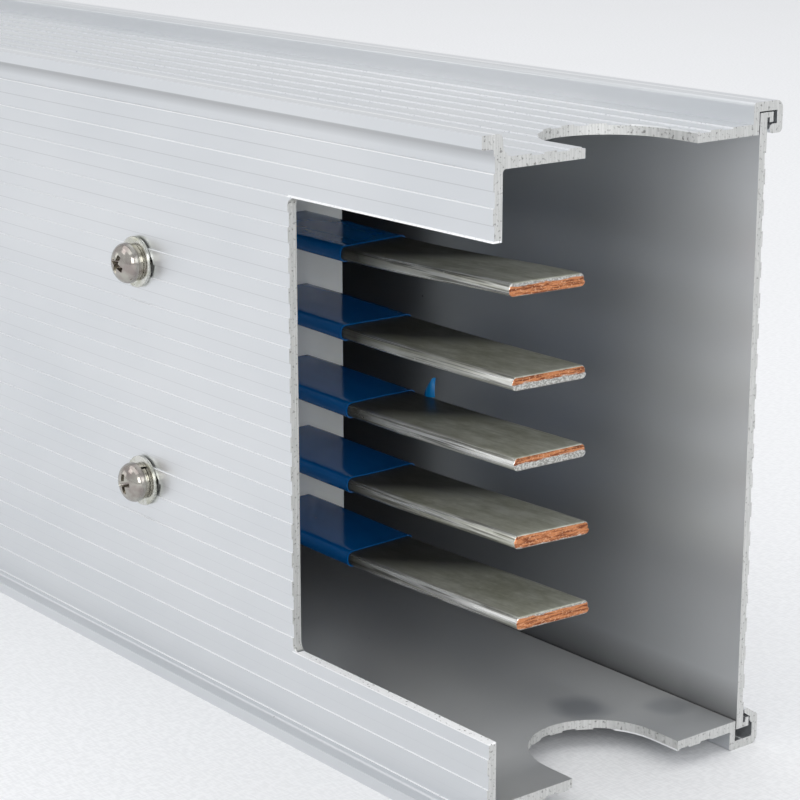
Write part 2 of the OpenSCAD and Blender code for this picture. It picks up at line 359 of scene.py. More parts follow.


# Painted highlight on the flanks of the ribs and plate grooves, on the rib edges near the upper lip and
# on the burred rim of the notch, the rib highlights weaker away from the ends
def paintedHighlightMask(tree, where, normal):
    depth, thick = aluminium["grooveDepth"], aluminium["plateThick"]
    flat = remap(tree, sizeOf(tree, normal[2]), 0.6, 0.7)
    steep = remap(tree, sizeOf(tree, normal[1]), 0.6, 0.7)
    coverBack = coverFace + aluminium["coverThick"]
    inWallGrooves = anyOf(tree, between(tree, where[1], wallFace + 0.02 * mm, wallFace + depth),
                          between(tree, where[1], coverBack - depth, coverBack - 0.02 * mm))
    plateTop, plateFoot = ceilingFace + thick, floorFace - thick
    inPlateGrooves = anyOf(tree, between(tree, where[2], plateTop - depth, plateTop - 0.02 * mm),
                           between(tree, where[2], plateFoot + 0.02 * mm, plateFoot + depth))
    behindWall = between(tree, where[1], wallInner, coverFace)
    rim, notchLow, notchHigh = (aluminium[key] for key in ("burr", "notchLow", "notchHigh"))
    burr = anyOf(tree, between(tree, where[2], notchHigh, notchHigh + rim),
                 between(tree, where[2], notchLow - rim, notchLow + 0.1 * mm))
    inWall = between(tree, where[1], wallFace - mm, wallInner - 0.2 * mm)
    onCrest = between(tree, where[1], wallFace - 0.05 * mm, wallFace + 0.05 * mm)
    topRib = aluminium["topRib"]
    nearLip = remap(tree, where[2], topRib - aluminium["highlightBelowLip"], topRib, 0.0,
                    aluminium["highlightShare"])
    highlightEdge = allOf(tree, ribEdge(tree, where, aluminium["highlightEdge"]), onCrest, nearLip)
    highlightFade = fromEnd(tree, where, aluminium["highlightFadeRange"], aluminium["highlightFadeShare"])
    ribs = anyOf(tree, allOf(tree, flat, inWallGrooves), highlightEdge,
                 allOf(tree, steep, inPlateGrooves, behindWall, aluminium["plateRibHighlightShare"]))
    return anyOf(tree, allOf(tree, ribs, highlightFade),
                 allOf(tree, burr, alongNotch(tree, where, rim), inWall))


# Strip that starts at the top edge of each rib of the front wall, or a share of the pitch below it
def ribEdge(tree, where, height, shift=0.0):
    below = maths(tree, "SUBTRACT", aluminium["topRib"], where[2])
    pitches = maths(tree, "DIVIDE", below, aluminium["ribPitch"])
    step = maths(tree, "FRACT", maths(tree, "SUBTRACT", pitches, shift))
    share = height / aluminium["ribPitch"]
    return remap(tree, step, share, share * 0.8)


def coverMask(tree, where):
    return between(tree, where[1], coverFace - 0.1 * mm, coverFace + 0.1 * mm)


# Painted shade under the upper lip, a painted shadow in the grooves below each rib and painted shade on
# the cover where it meets the bottom plate
def paintedCornerShade(tree, where):
    outside = remap(tree, where[1], wallFace + 0.6 * mm, wallFace + 0.5 * mm)
    lipFoot, (start, full) = aluminium["lipFoot"], aluminium["lipShade"]
    lipShade = allOf(tree, remap(tree, where[2], lipFoot - start, lipFoot - full), outside,
                     remap(tree, where[2], lipFoot + 0.3 * mm, lipFoot + 0.1 * mm))
    onCover = coverMask(tree, where)
    foot = remap(tree, where[2], floorFace + aluminium["footShadeHeight"], floorFace)
    inGroove = between(tree, where[1], wallFace + 0.3 * mm, wallFace + 0.4 * mm)
    grooveShadow = allOf(tree, ribEdge(tree, where, aluminium["grooveShadowEdge"], 0.5), inGroove,
                     aluminium["grooveShadowShare"])
    return anyOf(tree, allOf(tree, lipShade, aluminium["lipShadeShare"]),
                 allOf(tree, foot, onCover, aluminium["footShadeShare"]), grooveShadow)


# Dust on the inner face of the bottom plate, and a haze of it on the cover near its ends
def dustMask(tree, where, normal, blotches):
    level = between(tree, where[2], floorFace - 0.2 * mm, floorFace + 0.2 * mm)
    thin, thick = aluminium["dustShare"]
    cleanRim = fromEnd(tree, where, aluminium["cleanRim"], 1.0, 0.45)
    onPlate = allOf(tree, remap(tree, normal[2], 0.8, 0.9), level,
                    remap(tree, blotches, 0.3, 0.7, thin, thick), cleanRim)
    haze = fromEnd(tree, where, aluminium["hazeRange"], 0.0, aluminium["haze"])
    return anyOf(tree, onPlate, allOf(tree, coverMask(tree, where), haze))


def smudgeMask(tree):
    total = None
    wander = pattern(tree, *aluminium["wander"])
    start, gone = aluminium["smudgeFade"]
    for x, y, halfLength, halfWidth, strength in aluminium["smudges"]:
        scale = (1 / (halfLength * mm), 1 / (halfWidth * mm), aluminium["smudgeHeight"])
        place = objectPoint(tree, scale, location=(-x * scale[0], -y * scale[1], -floorFace * scale[2]))
        reach = addNode(tree, "ShaderNodeVectorMath", {0: place}, operation="LENGTH").outputs["Value"]
        ragged = maths(tree, "ADD", reach, maths(tree, "MULTIPLY", wander, aluminium["smudgeWander"]))
        blot = remap(tree, ragged, start, gone, strength, 0.0)
        total = maths(tree, "MAXIMUM", total, blot) if total else blot
    return total


def aluminiumMaterial():
    material, tree, shader = newMaterial("extrudedAluminium")
    point = objectPoint(tree)
    where, normal = parts(tree, point), faceNormal(tree)
    sawn = sawnMask(tree, where, normal)
    paintedHighlight = paintedHighlightMask(tree, where, normal)
    dieLines = pattern(tree, *aluminium["dieLines"])
    wideLines = pattern(tree, *aluminium["wideLines"])
    blotches = pattern(tree, *aluminium["blotches"])
    pits = dots(tree, point, *aluminium["pits"])
    sawLines = pattern(tree, *aluminium["sawLines"])
    chips = pattern(tree, *aluminium["chips"])
    colour = mixColour(tree, remap(tree, blotches, 0.35, 0.68), aluminium["colour"], aluminium["greyer"])
    colour = mixColour(tree, remap(tree, wideLines, 0.45, 0.75, 0.0, 0.2), colour, aluminium["greyer"])
    smudged = smudgeMask(tree)
    dust = maths(tree, "MULTIPLY", dustMask(tree, where, normal, blotches),
                 maths(tree, "SUBTRACT", 1.0, maths(tree, "MULTIPLY", smudged, aluminium["smudgeWipe"])))
    colour = mixColour(tree, dust, colour, aluminium["dust"])
    colour = mixColour(tree, smudged, colour, aluminium["smudge"])
    # painted shade on the cover's inner face, darker further from the ends
    innerShade = fromEnd(tree, where, aluminium["innerShadeRange"], 0.0, aluminium["innerShadeShare"])
    colour = mixColour(tree, allOf(tree, coverMask(tree, where), innerShade), colour, aluminium["innerShadeColour"])
    # painted shade under the lip, in the grooves and at the cover's foot
    colour = mixColour(tree, paintedCornerShade(tree, where), colour, aluminium["paintedShadeColour"])
    pitted = maths(tree, "MULTIPLY", pits, aluminium["pitShare"])
    colour = mixColour(tree, pitted, colour, aluminium["pit"])
    sawnColour = mixColour(tree, remap(tree, chips, 0.60, 0.72), aluminium["sawn"], aluminium["torn"])
    sawnColour = mixColour(tree, remap(tree, sawLines, 0.4, 0.7, 0.0, 0.5), sawnColour,
                           aluminium["sawStreak"])
    colour = mixColour(tree, sawn, colour, sawnColour)
    # painted highlight: the masked faces get a near-white, barely metallic colour
    highlighted = maths(tree, "MULTIPLY", paintedHighlight, remap(tree, chips, 0.76, 0.64))
    tree.links.new(mixColour(tree, highlighted, colour, aluminium["paintedHighlight"]), shader.inputs["Base Color"])
    low, high = aluminium["roughness"]
    sheen = maths(tree, "ADD", remap(tree, dieLines, 0.3, 0.7, low, high),
                  remap(tree, blotches, 0.3, 0.7, -0.03, 0.03))
    tree.links.new(mixValue(tree, sawn, sheen, aluminium["sawnRoughness"]), shader.inputs["Roughness"])
    matt = maths(tree, "MULTIPLY", dust, aluminium["dustMatt"])
    bare = maths(tree, "SUBTRACT", aluminium["metal"], matt)
    tree.links.new(mixValue(tree, highlighted, bare, aluminium["paintedHighlightMetal"]), shader.inputs["Metallic"])
    fine = maths(tree, "MULTIPLY", dieLines, maths(tree, "SUBTRACT", 1.0, sawn))
    sawMarks = maths(tree, "MULTIPLY", sawLines, sawn)
    addBump(tree, shader, [(fine, aluminium["dieLineDepth"]), (sawMarks, aluminium["sawMarkDepth"])])
    return material


extruded = aluminiumMaterial()
for name in ("housing_channel", "back_cover"):
    nodes[name].data.materials.clear()
    nodes[name].data.materials.append(extruded)
print("aluminium done")


# White insulating mouldings

moulding = {
    "colour": (0.90, 0.915, 0.90),
    "worn": (0.84, 0.855, 0.83),
    "speck": (0.3, 0.3, 0.3),
    "flow": ((40, 60, 25), 2),
    "grain": ((1800, 1800, 1800), 0),
    "specks": (160, 0.12, 0.04),
    "speckShare": 0.5,
    "roughness": (0.42, 0.56),
    "grainDepth": 0.006 * mm,
}


def mouldingMaterial():
    material, tree, shader = newMaterial("whiteMoulding")
    flow = pattern(tree, *moulding["flow"])
    grain = pattern(tree, *moulding["grain"])
    specks = dots(tree, objectPoint(tree), *moulding["specks"])
    colour = mixColour(tree, remap(tree, flow, 0.35, 0.7), moulding["colour"], moulding["worn"])
    specked = maths(tree, "MULTIPLY", specks, moulding["speckShare"])
    colour = mixColour(tree, specked, colour, moulding["speck"])
    tree.links.new(colour, shader.inputs["Base Color"])
    low, high = moulding["roughness"]
    tree.links.new(remap(tree, flow, 0.3, 0.7, low, high), shader.inputs["Roughness"])
    addBump(tree, shader, [(grain, moulding["grainDepth"])])
    return material


# Comb supports: a comb that stands on the screws, with its far edge clear of the cover

comb = {
    "thick": 6 * mm,
    "reach": 55.4 * mm,
    "corner": 3.5 * mm,
    "softEdge": 0.4 * mm,
    "margin": 7.2 * mm,
    "windowGap": 0.05 * mm,
    "windowRadius": 1.5 * mm,
    "footWidth": 24 * mm,
    "footThick": 3.5 * mm,
    "bossRadius": 5.5 * mm,
    "bossLength": 10 * mm,
    "holeRadius": 2.5 * mm,
    "rodSteps": 48,
    "gussetReach": 9 * mm,
    "gussetThick": 2.5 * mm,
}


def screwAxis(key):
    low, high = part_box(f"flat_washer_{key}")
    return (low + high) / 2


def carve(body, tools):
    for operation, tool in tools:
        carriers = []
        for shape in (body, tool):
            mesh = bpy.data.meshes.new("carved")
            shape.to_mesh(mesh)
            shape.free()
            carriers.append(bpy.data.objects.new("carved", mesh))
            scene.collection.objects.link(carriers[-1])
        cut = carriers[0].modifiers.new("cut", "BOOLEAN")
        cut.operation, cut.solver, cut.object = operation, "EXACT", carriers[1]
        bpy.context.view_layer.update()
        finished = carriers[0].evaluated_get(bpy.context.evaluated_depsgraph_get())
        result = bpy.data.meshes.new_from_object(finished)
        body = bmesh.new()
        body.from_mesh(result)
        for carrier in carriers:
            bpy.data.objects.remove(carrier)
    return body


def sharpEdges(shape, angle=50):
    return [edge for edge in shape.edges
            if edge.is_manifold and edge.calc_face_angle() > math.radians(angle)]


def softBlock(low, high, soft, farCorner=0.0):
    shape = block(low, high)
    if farCorner:
        corners = [edge for edge in shape.edges
                   if min(vert.co.y for vert in edge.verts) > high.y - soft
                   and abs(edge.verts[0].co.x - edge.verts[1].co.x) > soft]
        roundEdges(shape, corners, farCorner, 6)
    shape.normal_update()
    roundEdges(shape, sharpEdges(shape), soft, 2)
    return shape


def rod(centre, radius, low, high):
    shape = bmesh.new()
    bmesh.ops.create_cone(shape, cap_ends=True, cap_tris=False, segments=comb["rodSteps"],
                          radius1=radius, radius2=radius, depth=high - low)
    turnAbout(shape, "X", 90)
    bmesh.ops.translate(shape, vec=(centre.x, (low + high) / 2, centre.z), verts=shape.verts)
    return shape


def gusset(centreX, side, level, footTop):
    shape = bmesh.new()
    half = comb["thick"] / 2
    corners = ((half - mm, -mm), (half + comb["gussetReach"], -mm), (half - mm, comb["gussetReach"]))
    verts = [shape.verts.new((centreX + side * along, footTop + out, level - comb["gussetThick"] / 2))
             for along, out in corners]
    face = bmesh.ops.contextual_create(shape, geom=verts)["faces"]
    raised = bmesh.ops.extrude_face_region(shape, geom=face)["geom"]
    bmesh.ops.translate(shape, vec=(0, 0, comb["gussetThick"]),
                        verts=[item for item in raised if isinstance(item, bmesh.types.BMVert)])
    bmesh.ops.recalc_face_normals(shape, faces=shape.faces)
    return shape


def combShape(index):
    low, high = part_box(f"comb_support_{index}")
    low.z += comb["margin"]
    high.z -= comb["margin"]
    axes = [screwAxis(f"{index}_{level}") for level in ("upper", "lower")]
    centreX, half = axes[0].x, comb["thick"] / 2
    farEdge = low.y + comb["reach"]
    plate = softBlock(Vector((centreX - half, low.y, low.z)), Vector((centreX + half, farEdge, high.z)),
                      comb["softEdge"], comb["corner"])
    footHalf, footTop = comb["footWidth"] / 2, low.y + comb["footThick"]
    tools = [("UNION", softBlock(Vector((centreX - footHalf, low.y, low.z)),
                                 Vector((centreX + footHalf, footTop, high.z)), comb["softEdge"]))]
    for level in (low.z + 2 * mm, (low.z + high.z) / 2, high.z - 2 * mm):
        tools += [("UNION", gusset(centreX, side, level, footTop)) for side in (1, -1)]
    bossEnd = low.y + comb["bossLength"]
    for axis in axes:
        tools.append(("UNION", rod(axis, comb["bossRadius"], low.y + 0.5 * mm, bossEnd)))
        tools.append(("DIFFERENCE", rod(axis, comb["holeRadius"], low.y - mm, bossEnd + mm)))
    spread = Vector((0, comb["windowGap"], comb["windowGap"]))
    for bar in range(1, barCount + 1):
        windowLow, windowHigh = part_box(f"sleeve_{bar}")
        windowLow.x, windowHigh.x = centreX - 2 * half, centreX + 2 * half
        window = roundedStrip(windowLow - spread, windowHigh + spread, comb["windowRadius"], 5)
        tools.append(("DIFFERENCE", window))
    shape = carve(plate, tools)
    bmesh.ops.remove_doubles(shape, verts=shape.verts, dist=0.002 * mm)
    bmesh.ops.recalc_face_normals(shape, faces=shape.faces)
    return shape


moulded = mouldingMaterial()
for index in range(1, combCount + 1):
    finishPiece(f"mouldedComb_{index}", combShape(index), [moulded],
                [f"comb_support_{index}"])
print("comb supports done")


# Busbars: tinned flats with sheared ends, each a little out of line as it was fitted

busbar = {
    "edgeRadius": 1.15 * mm,
    "edgeSteps": 4,
    "endRoll": 0.5 * mm,
    "endRollSteps": 3,
    "fineStep": 3.5 * mm,
    "shiftReach": 30 * mm,
    "tin": (0.76, 0.76, 0.67),
    "tarnish": (0.44, 0.44, 0.345),
    # colour of the painted highlight along the bars' rounded edges
    "edgeHighlight": (0.86, 0.86, 0.84),
    "scored": (0.20, 0.195, 0.17),
    # near-black colour of the painted shade on the tin next to the sleeves
    "paintedBarShade": (0.05, 0.047, 0.037),
    "speck": (0.85, 0.84, 0.80),
    # reach of the painted shade from the sleeve at the front and back edges, its wander and fade
    "barShadeFront": 9 * mm,
    "barShadeBack": 31 * mm,
    "barShadeWander": 3 * mm,
    "barShadeFade": (-5 * mm, 9 * mm),
    "metal": 0.70,
    "copper": (0.66, 0.27, 0.12),
    "copperDark": (0.24, 0.075, 0.035),
    "copperBright": (0.88, 0.52, 0.32),
    "smear": ((0.66, 0.66, 0.63), (0.36, 0.355, 0.33)),
    "rimShade": (0.16, 0.14, 0.12),
    "streaks": ((18, 700, 700), 2, 0.6),
    "fineStreaks": ((50, 2600, 2600), 1),
    "clouds": ((60, 130, 130), 4, 0.72),
    "specks": (420, 0.10, 0.16),
    "shear": ((2200, 1900, 2600), 2),
    "tears": ((900, 260, 2400), 3, 0.65),
    "streakDepth": 0.02 * mm,
    "scoreDepth": 0.035 * mm,
    "tearDepth": 0.09 * mm,
    "shearDepth": 0.03 * mm,
    "roughness": (0.32, 0.48),
    "polishedRoughness": 0.27,
    "copperRoughness": (0.34, 0.5),
    "copperMetal": 0.9,
    "edgeBand": (0.84, 0.95),            # share of the half width where the rounded edge starts
    "rimBand": (0.86, 0.96),             # share of the half height where the rim of the end starts
    "rimShare": 0.6,
    "smearRagged": 0.22,
    "smearBlur": 0.06,
    "cutsAcross": (-0.6, -0.2, 0.2, 0.6),
    "raggedScale": 420,
    "ragged": 0.10,                      # in mm
    # rise and sag of the free end, the end's slip and skew, all in mm,
    # and the share of its height where tin is smeared over its top and foot
    "right": ((0.84, -0.9, -2.05, 0.75, 0.26, 0.0), (-1.07, -0.45, -0.95, 0.55, 0.0, 0.45),
              (-0.33, -0.6, -0.3, 0.3, 0.0, 0.5), (0.51, -0.8, 0.7, 0.9, 0.0, 0.08),
              (0.52, -0.8, 1.5, 0.6, 0.18, 0.05)),
    "left": ((-0.3, 0.2, -0.8, 0.4, 0.1, 0.1), (0.4, -0.3, 0.5, -0.3, 0.0, 0.3),
             (0.2, -0.2, -1.1, 0.5, 0.3, 0.0), (-0.5, 0.1, 0.3, -0.6, 0.0, 0.4),
             (0.3, -0.3, -0.4, 0.2, 0.15, 0.1)),
}


def lift(settings, place, barEnd):
    rise, sag = settings[0] * mm, settings[1] * mm
    start = combNear + 6 * mm
    along = min(max((abs(place) - start) / (barEnd - start), 0), 1)
    return rise * smoothStep(along) + sag * 16 * (along * (1 - along)) ** 2


def busbarShape(index):
    low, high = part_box(f"busbar_{index}")
    middle, half = (low + high) / 2, (high - low) / 2
    shape = roundedStrip(low, high, busbar["edgeRadius"], busbar["edgeSteps"])
    rolled = [edge for edge in shape.edges
              if all(abs(vert.co.x) > high.x - 0.01 * mm and vert.co.z > middle.z
                     for vert in edge.verts)]
    roundEdges(shape, rolled, busbar["endRoll"], busbar["endRollSteps"])
    cutAcross(shape, lengthStations(high.x, busbar["fineStep"]), 0)
    cutAcross(shape, [middle.y + half.y * share for share in busbar["cutsAcross"]], 1)
    height = shape.verts.layers.float.new("barHeight")
    across = shape.verts.layers.float.new("barAcross")
    smearTop = shape.verts.layers.float.new("smearTop")
    smearFoot = shape.verts.layers.float.new("smearFoot")
    for vert in shape.verts:
        settings = busbar["right" if vert.co.x > 0 else "left"][index - 1]
        side = (vert.co.y - middle.y) / half.y
        vert[height] = (vert.co.z - middle.z) / half.z
        vert[across] = side
        vert[smearTop], vert[smearFoot] = settings[4], settings[5]
        near = smoothStep(1 - (high.x - abs(vert.co.x)) / busbar["shiftReach"])
        atEnd = abs(vert.co.x) > high.x - 0.02 * mm
        wander = noise.noise(vert.co * busbar["raggedScale"]) * busbar["ragged"] * mm if atEnd else 0.0
        shift = near * (settings[2] + settings[3] * side) * mm + wander
        vert.co.z += lift(settings, vert.co.x, high.x)
        vert.co.x += math.copysign(1, vert.co.x) * shift
    for face in shape.faces:
        face.material_index = 1 if abs(face.normal.x) > 0.85 else 0
    return shape


def attribute(tree, name):
    return addNode(tree, "ShaderNodeAttribute", attribute_name=name).outputs["Fac"]


# Painted shade on the tin next to the sleeves, reaching further along the back edge than the front
def paintedBarShadeMask(tree, where, clouds):
    bare = maths(tree, "SUBTRACT", sizeOf(tree, where[0]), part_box("sleeve_1")[1].x)
    reach = remap(tree, attribute(tree, "barAcross"), -1.0, 1.0, busbar["barShadeFront"],
                  busbar["barShadeBack"])
    wander = remap(tree, clouds, 0.3, 0.7, -busbar["barShadeWander"], busbar["barShadeWander"])
    past = maths(tree, "SUBTRACT", maths(tree, "ADD", bare, wander), reach)
    start, gone = busbar["barShadeFade"]
    return remap(tree, past, start, gone, 1.0, 0.0)


def tinMaterial():
    material, tree, shader = newMaterial("tinnedCopper")
    point = objectPoint(tree)
    streaks = pattern(tree, *busbar["streaks"])
    fineStreaks = pattern(tree, *busbar["fineStreaks"])
    clouds = pattern(tree, *busbar["clouds"])
    specks = dots(tree, point, *busbar["specks"])
    edge = remap(tree, sizeOf(tree, attribute(tree, "barAcross")), *busbar["edgeBand"])
    # streaky band along the rounded edges, painted lighter as a highlight and given a lower roughness
    worn = maths(tree, "MULTIPLY", edge, remap(tree, streaks, 0.36, 0.56))
    scored = maths(tree, "MULTIPLY", edge, remap(tree, fineStreaks, 0.52, 0.62))
    colour = mixColour(tree, remap(tree, clouds, 0.36, 0.64), busbar["tin"], busbar["tarnish"])
    colour = mixColour(tree, remap(tree, streaks, 0.50, 0.75, 0.0, 0.5), colour, busbar["tarnish"])
    # painted highlight: lighter tin along the rounded edges
    colour = mixColour(tree, maths(tree, "MULTIPLY", worn, 0.9), colour, busbar["edgeHighlight"])
    colour = mixColour(tree, maths(tree, "MULTIPLY", scored, 0.8), colour, busbar["scored"])
    colour = mixColour(tree, maths(tree, "MULTIPLY", specks, 0.6), colour, busbar["speck"])
    barShade = paintedBarShadeMask(tree, parts(tree, point), clouds)
    # painted shade on the bar tops next to the sleeves
    colour = mixColour(tree, maths(tree, "MULTIPLY", barShade, 0.93), colour, busbar["paintedBarShade"])
    tree.links.new(colour, shader.inputs["Base Color"])
    low, high = busbar["roughness"]
    rough = remap(tree, clouds, 0.3, 0.7, low, high)
    rough = mixValue(tree, worn, rough, busbar["polishedRoughness"])
    tree.links.new(rough, shader.inputs["Roughness"])
    shader.inputs["Metallic"].default_value = busbar["metal"]
    edgeScores = maths(tree, "MULTIPLY", fineStreaks, edge)
    addBump(tree, shader, [(streaks, busbar["streakDepth"]), (edgeScores, busbar["scoreDepth"])])
    return material


def copperMaterial():
    material, tree, shader = newMaterial("shearedCopper")
    shear = pattern(tree, *busbar["shear"])
    tears = pattern(tree, *busbar["tears"])
    level = attribute(tree, "barHeight")
    reach, blur = busbar["smearRagged"], busbar["smearBlur"]
    ragged = maths(tree, "ADD", level, remap(tree, tears, 0.3, 0.7, -reach, reach))
    topLimit = maths(tree, "SUBTRACT", 1.0, maths(tree, "MULTIPLY", attribute(tree, "smearTop"), 2.0))
    footLimit = maths(tree, "SUBTRACT", maths(tree, "MULTIPLY", attribute(tree, "smearFoot"), 2.0), 1.0)
    top = remap(tree, maths(tree, "SUBTRACT", ragged, topLimit), -blur, blur)
    foot = remap(tree, maths(tree, "SUBTRACT", footLimit, ragged), -blur, blur)
    rim = remap(tree, sizeOf(tree, level), *busbar["rimBand"])
    colour = mixColour(tree, remap(tree, tears, 0.46, 0.60), busbar["copper"], busbar["copperDark"])
    colour = mixColour(tree, remap(tree, shear, 0.56, 0.68, 0.0, 0.7), colour, busbar["copperBright"])
    smeared = mixColour(tree, remap(tree, shear, 0.42, 0.58), *busbar["smear"])
    colour = mixColour(tree, anyOf(tree, top, foot), colour, smeared)
    shaded = maths(tree, "MULTIPLY", rim, busbar["rimShare"])
    colour = mixColour(tree, shaded, colour, busbar["rimShade"])
    tree.links.new(colour, shader.inputs["Base Color"])
    low, high = busbar["copperRoughness"]
    tree.links.new(remap(tree, shear, 0.3, 0.7, low, high), shader.inputs["Roughness"])
    shader.inputs["Metallic"].default_value = busbar["copperMetal"]
    addBump(tree, shader, [(tears, busbar["tearDepth"]), (shear, busbar["shearDepth"])])
    return material


tinned, sheared = tinMaterial(), copperMaterial()
for index in range(1, barCount + 1):
    finishPiece(f"tinnedBar_{index}", busbarShape(index), [tinned, sheared],
                [f"busbar_{index}"])
print("busbars done")


# Sleeves: shrunk film with soft ripples and a hand-cut end

sleeve = {
    "edgeRadius": 1.45 * mm,
    "edgeSteps": 4,
    "wall": 0.27 * mm,
    "fineStep": 1.6 * mm,
    "ripple": 0.09 * mm,
    "rippleScale": (60, 130, 130),
    "lipReach": 1.4 * mm,
    "lipFlare": 0.04 * mm,
    "colour": (0.001, 0.085, 0.28),
    "thin": (0.004, 0.27, 0.70),
    "deep": (0.002, 0.12, 0.36),
    "dust": (0.25, 0.3, 0.38),
    "roughness": (0.09, 0.17),
    "ior": 1.29,
    "drift": ((50, 200, 200), 2),
    "grain": ((900, 1400, 1400), 0),
    "specks": (330, 0.10, 0.10),
    "driftDepth": 0.02 * mm,
    "grainDepth": 0.0015 * mm,
    "cutReach": 12 * mm,
    "cutsAcross": (-0.7, -0.5, -0.3, -0.1, 0.1, 0.3, 0.5, 0.7),
    "raggedScale": 260,
    "ragged": 0.35,                      # in mm
    # how far the end is cut short and how far the cut is out of square, in mm
    "right": ((-2.05, -0.95), (-0.8, 0.1), (0.7, -0.2), (0.85, -0.25), (0.25, -0.75)),
    "left": ((0.4, 0.5), (-0.6, -0.4), (0.2, 0.7), (-1.0, 0.2), (0.5, -0.5)),
}


combMiddles = [screwAxis(f"{index}_upper").x for index in range(1, combCount + 1)]


def freeOfCombs(place):
    return smoothStep((min(abs(place - middle) for middle in combMiddles) - 4 * mm) / (8 * mm))


def sleeveShape(index):
    low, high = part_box(f"sleeve_{index}")
    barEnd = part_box(f"busbar_{index}")[1].x
    middle, half = (low + high) / 2, (high - low) / 2
    shape = roundedStrip(low, high, sleeve["edgeRadius"], sleeve["edgeSteps"])
    ends = [face for face in shape.faces if abs(face.normal.x) > 0.9]
    bmesh.ops.delete(shape, geom=ends, context="FACES")
    cutAcross(shape, lengthStations(high.x, sleeve["fineStep"]), 0)
    cutAcross(shape, [middle.y + half.y * share for share in sleeve["cutsAcross"]], 1)
    shape.normal_update()
    outward = {vert: vert.normal.copy() for vert in shape.verts}
    scale = Vector(sleeve["rippleScale"])
    for vert in shape.verts:
        side = "right" if vert.co.x > 0 else "left"
        bar = busbar[side][index - 1]
        cut, skew = sleeve[side][index - 1]
        where = Vector([vert.co[axis] * scale[axis] for axis in range(3)]) + Vector((7.3 * index, 0, 0))
        loose = freeOfCombs(vert.co.x)
        swell = sleeve["ripple"] * loose * (0.5 + 0.5 * noise.noise(where))
        toEnd = high.x - abs(vert.co.x)
        swell += sleeve["lipFlare"] * smoothStep(1 - toEnd / sleeve["lipReach"])
        near = smoothStep(1 - toEnd / sleeve["cutReach"])
        wander = noise.noise(vert.co * sleeve["raggedScale"] + Vector((index, 0, 0))) * sleeve["ragged"]
        ragged = wander if toEnd < 0.1 * mm else 0.0
        shift = (cut + skew * (vert.co.y - middle.y) / half.y) * near + ragged
        vert.co += Vector((0, outward[vert].y, outward[vert].z)).normalized() * swell
        vert.co.z += lift(bar, vert.co.x, barEnd)
        vert.co.x += math.copysign(1, vert.co.x) * shift * mm
    bmesh.ops.recalc_face_normals(shape, faces=shape.faces)
    bmesh.ops.solidify(shape, geom=shape.faces[:], thickness=sleeve["wall"])
    bmesh.ops.recalc_face_normals(shape, faces=shape.faces)
    return shape


def sleeveMaterial(name, colour):
    material, tree, shader = newMaterial(name)
    drift = pattern(tree, *sleeve["drift"])
    grain = pattern(tree, *sleeve["grain"])
    specks = dots(tree, objectPoint(tree), *sleeve["specks"])
    shade = mixColour(tree, remap(tree, drift, 0.35, 0.7, 0.0, 0.35), colour, sleeve["deep"])
    shade = mixColour(tree, maths(tree, "MULTIPLY", specks, 0.25), shade, sleeve["dust"])
    tree.links.new(shade, shader.inputs["Base Color"])
    low, high = sleeve["roughness"]
    tree.links.new(remap(tree, drift, 0.3, 0.7, low, high), shader.inputs["Roughness"])
    shader.inputs["IOR"].default_value = sleeve["ior"]
    addBump(tree, shader, [(drift, sleeve["driftDepth"]), (grain, sleeve["grainDepth"])])
    return material


sleeveBlue = sleeveMaterial("blueSleeve", sleeve["colour"])
for index in range(1, barCount + 1):
    finishPiece(f"shrunkSleeve_{index}", sleeveShape(index), [sleeveBlue],
                [f"sleeve_{index}"], 50)
print("sleeves done")


# Scrap of sleeve film that still clings to the third bar

filmScrap = {
    "place": (0.4240, 8.8 * mm, 1.5 * mm),
    "width": 4.4 * mm,
    "height": 4.4 * mm,
    "curl": 1.0,
    "lean": 0.9 * mm,
    "taper": (0.92, 1.6),
    "thickness": 0.12 * mm,
}


def filmScrapShape():
    low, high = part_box("busbar_3")
    shape = bmesh.new()
    bmesh.ops.create_grid(shape, x_segments=6, y_segments=8, size=0.5)
    width, (share, power) = filmScrap["width"], filmScrap["taper"]
    for vert in shape.verts:
        across, up = vert.co.x, vert.co.y + 0.5
        taper = 1 - share * up ** power
        bend = across * filmScrap["curl"] * 2
        lean = up * up * filmScrap["lean"]
        vert.co = Vector((math.sin(bend) * 0.5 * taper * width + lean,
                          (1 - math.cos(bend)) * 0.5 * width + lean, up * filmScrap["height"]))
    bmesh.ops.recalc_face_normals(shape, faces=shape.faces)
    bmesh.ops.solidify(shape, geom=shape.faces[:], thickness=filmScrap["thickness"])
    bmesh.ops.recalc_face_normals(shape, faces=shape.faces)
    x, y, z = filmScrap["place"]
    middle = (low + high) / 2
    foot = Vector((x, middle.y + y, middle.z + z + lift(busbar["right"][2], x, high.x)))
    bmesh.ops.translate(shape, vec=foot, verts=shape.verts)
    return shape


thinFilm = sleeveMaterial("thinBlueFilm", sleeve["thin"])
finishPiece("filmScrap", filmScrapShape(), [thinFilm])
print("film scrap done")


# Screws with a cross recess, split spring washers and flat washers

